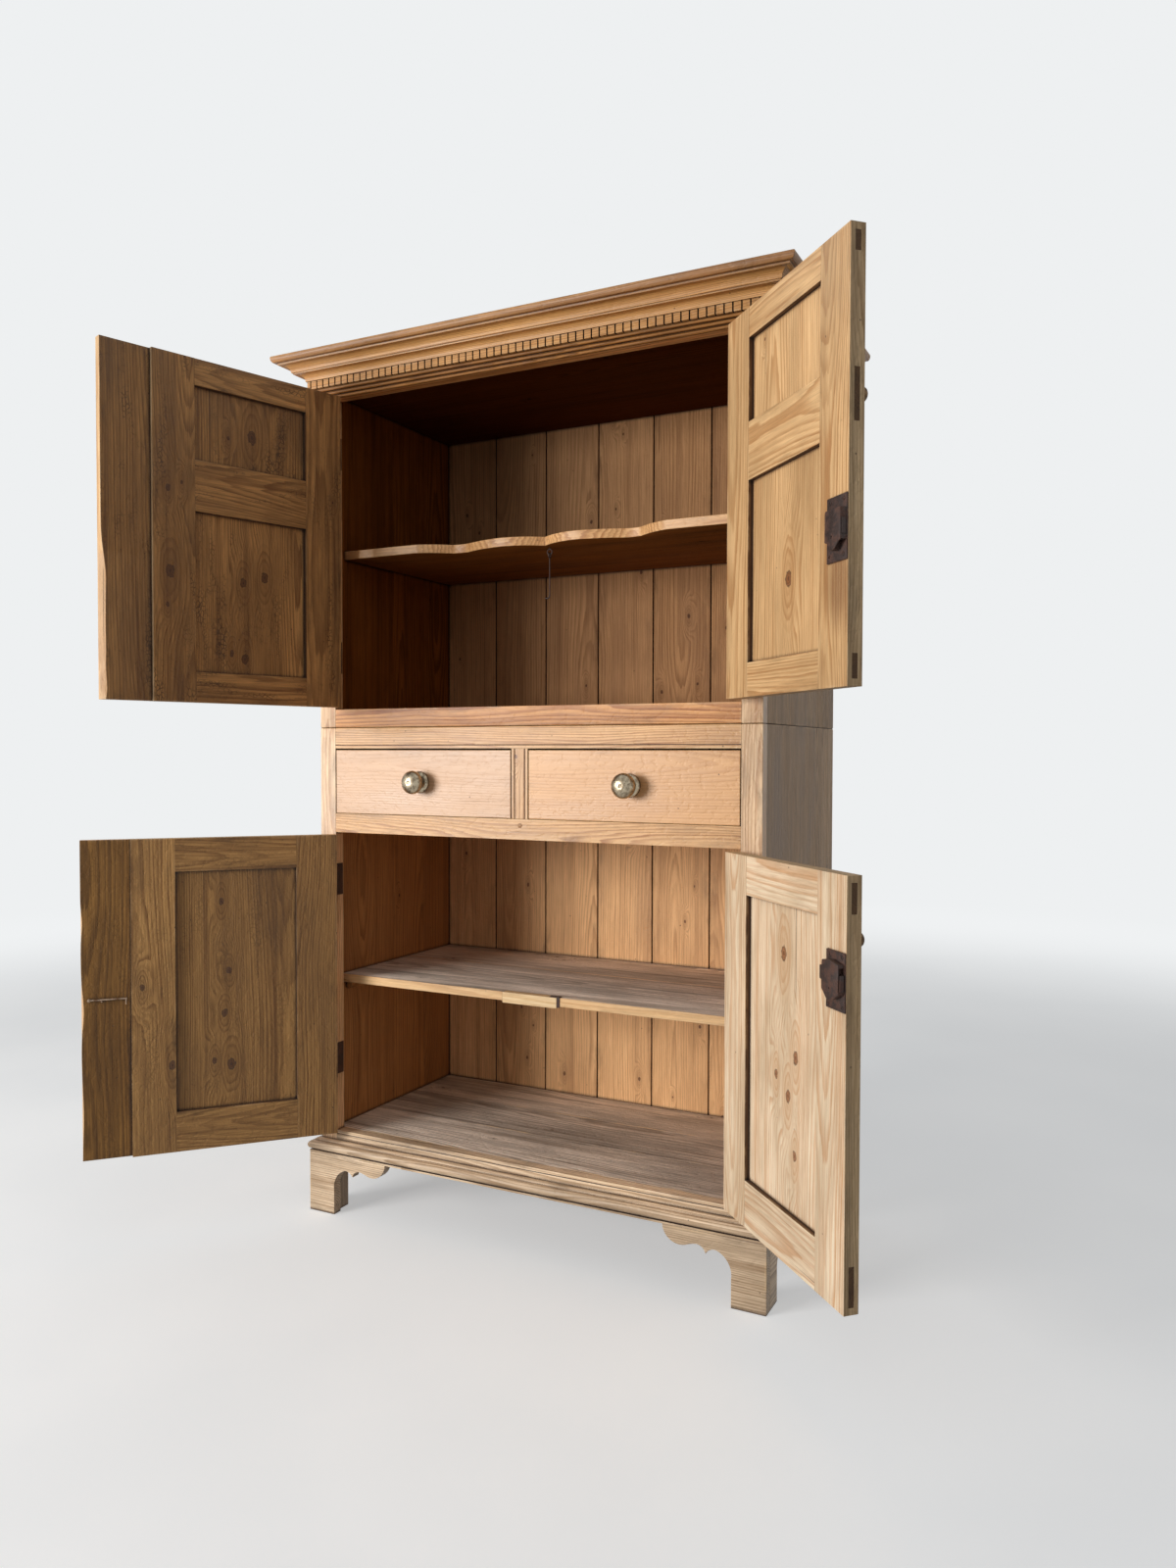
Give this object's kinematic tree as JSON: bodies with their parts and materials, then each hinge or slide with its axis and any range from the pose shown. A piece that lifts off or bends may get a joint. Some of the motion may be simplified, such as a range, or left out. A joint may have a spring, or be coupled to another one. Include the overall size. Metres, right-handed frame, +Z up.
{
  "type": "press cupboard",
  "caption": "Tall two-stage pine linen press cupboard with a dentil cornice, panelled doors above and below a row of drawers, shelves inside, and bracket feet.",
  "frame": {"origin": "on the floor, below the middle of the whole object as it stands with its doors open; the case itself is centred 24 mm to the right of it", "axes": "+Z up, -Y out of the front of the case, +X to the right as seen from the front"},
  "size_m": [1.6844, 1.065, 2.018],
  "materials": {
    "waxed_pine": "old wax, worn pale at the edges",
    "inside_pine": "dry, darkened with age",
    "dry_pine": "bare, grey-brown and scuffed",
    "old_iron": "rusty brown, dull",
    "worn_brass": "mottled and tarnished"
  },
  "bodies": {
    "carcass": {"base_moulding": "waxed_pine", "bracket_feet": "waxed_pine", "cornice": "waxed_pine", "dentil_band": "waxed_pine", "drawer_deck": "inside_pine", "drawer_muntin": "waxed_pine", "left_hinge_leaves": "old_iron", "lower_back_boards": "inside_pine", "lower_floor_boards": "dry_pine", "lower_rails": "waxed_pine", "lower_shelf": "dry_pine", "lower_sides": "waxed_pine", "lower_stiles": "waxed_pine", "lower_top_board": "inside_pine", "reeded_frieze": "waxed_pine", "right_hinge_leaves": "old_iron", "shelf_cleats": "inside_pine", "shelf_irons": "old_iron", "shelf_patch": "waxed_pine", "upper_back_boards": "inside_pine", "upper_floor_board": "inside_pine", "upper_rails": "waxed_pine", "upper_shelf": "waxed_pine", "upper_sides": "waxed_pine", "upper_stiles": "waxed_pine", "upper_top_board": "inside_pine"},
    "door_hook": {"door_hook": "old_iron"},
    "left_drawer": {"left_drawer_box": "inside_pine", "left_drawer_front": "waxed_pine", "left_drawer_knob": "worn_brass"},
    "lower_left_door": {"lower_left_closing_board": "waxed_pine", "lower_left_hinges": "old_iron", "lower_left_hook_pins": "old_iron", "lower_left_panels": "waxed_pine", "lower_left_rails": "waxed_pine", "lower_left_stiles": "waxed_pine"},
    "lower_lock_bolt": {"lower_lock_bolt": "old_iron"},
    "lower_right_door": {"lower_right_hinges": "old_iron", "lower_right_knob": "worn_brass", "lower_right_lock": "old_iron", "lower_right_panels": "waxed_pine", "lower_right_rails": "waxed_pine", "lower_right_stiles": "waxed_pine"},
    "right_drawer": {"right_drawer_box": "inside_pine", "right_drawer_front": "waxed_pine", "right_drawer_knob": "worn_brass"},
    "shelf_hook": {"shelf_hook": "old_iron"},
    "upper_left_door": {"upper_left_closing_board": "waxed_pine", "upper_left_hinges": "old_iron", "upper_left_panels": "waxed_pine", "upper_left_rails": "waxed_pine", "upper_left_stiles": "waxed_pine"},
    "upper_lock_bolt": {"upper_lock_bolt": "old_iron"},
    "upper_right_door": {"upper_right_hinges": "old_iron", "upper_right_knob": "worn_brass", "upper_right_lock": "old_iron", "upper_right_panels": "waxed_pine", "upper_right_rails": "waxed_pine", "upper_right_stiles": "waxed_pine"}
  },
  "joints": [
    {"name": "upper_left_swing", "type": "hinge", "parent": "carcass", "child": "upper_left_door", "pos_m": [-0.4775, -0.0038, 1.5], "axis": [0, 0, -1], "range_deg": [-108, 62]},
    {"name": "upper_right_swing", "type": "hinge", "parent": "carcass", "child": "upper_right_door", "pos_m": [0.5255, -0.0038, 1.5], "axis": [0, 0, 1], "range_deg": [-134.6, 35.4]},
    {"name": "lower_left_swing", "type": "hinge", "parent": "carcass", "child": "lower_left_door", "pos_m": [-0.4775, -0.0038, 0.4], "axis": [0, 0, -1], "range_deg": [-132, 38]},
    {"name": "lower_right_swing", "type": "hinge", "parent": "carcass", "child": "lower_right_door", "pos_m": [0.5255, -0.0038, 0.4], "axis": [0, 0, 1], "range_deg": [-135, 35]},
    {"name": "left_drawer_slide", "type": "slide", "parent": "carcass", "child": "left_drawer", "axis": [0, -1, 0], "range_m": [0, 0.36]},
    {"name": "right_drawer_slide", "type": "slide", "parent": "carcass", "child": "right_drawer", "axis": [0, -1, 0], "range_m": [0, 0.36]},
    {"name": "upper_bolt_throw", "type": "slide", "parent": "upper_right_door", "child": "upper_lock_bolt", "axis": [0.7022, -0.712, 0], "range_m": [0, 0.012]},
    {"name": "lower_bolt_throw", "type": "slide", "parent": "lower_right_door", "child": "lower_lock_bolt", "axis": [0.7071, -0.7071, 0], "range_m": [0, 0.012]},
    {"name": "shelf_hook_swing", "type": "hinge", "parent": "carcass", "child": "shelf_hook", "pos_m": [0.024, 0.1346, 1.5435], "axis": [-1, 0, 0], "range_deg": [-20, 80]},
    {"name": "door_hook_lift", "type": "hinge", "parent": "lower_left_door", "child": "door_hook", "pos_m": [-0.81531, -0.42022, 0.553], "axis": [0.7431, -0.6691, 0], "range_deg": [0, 100]}
  ]
}
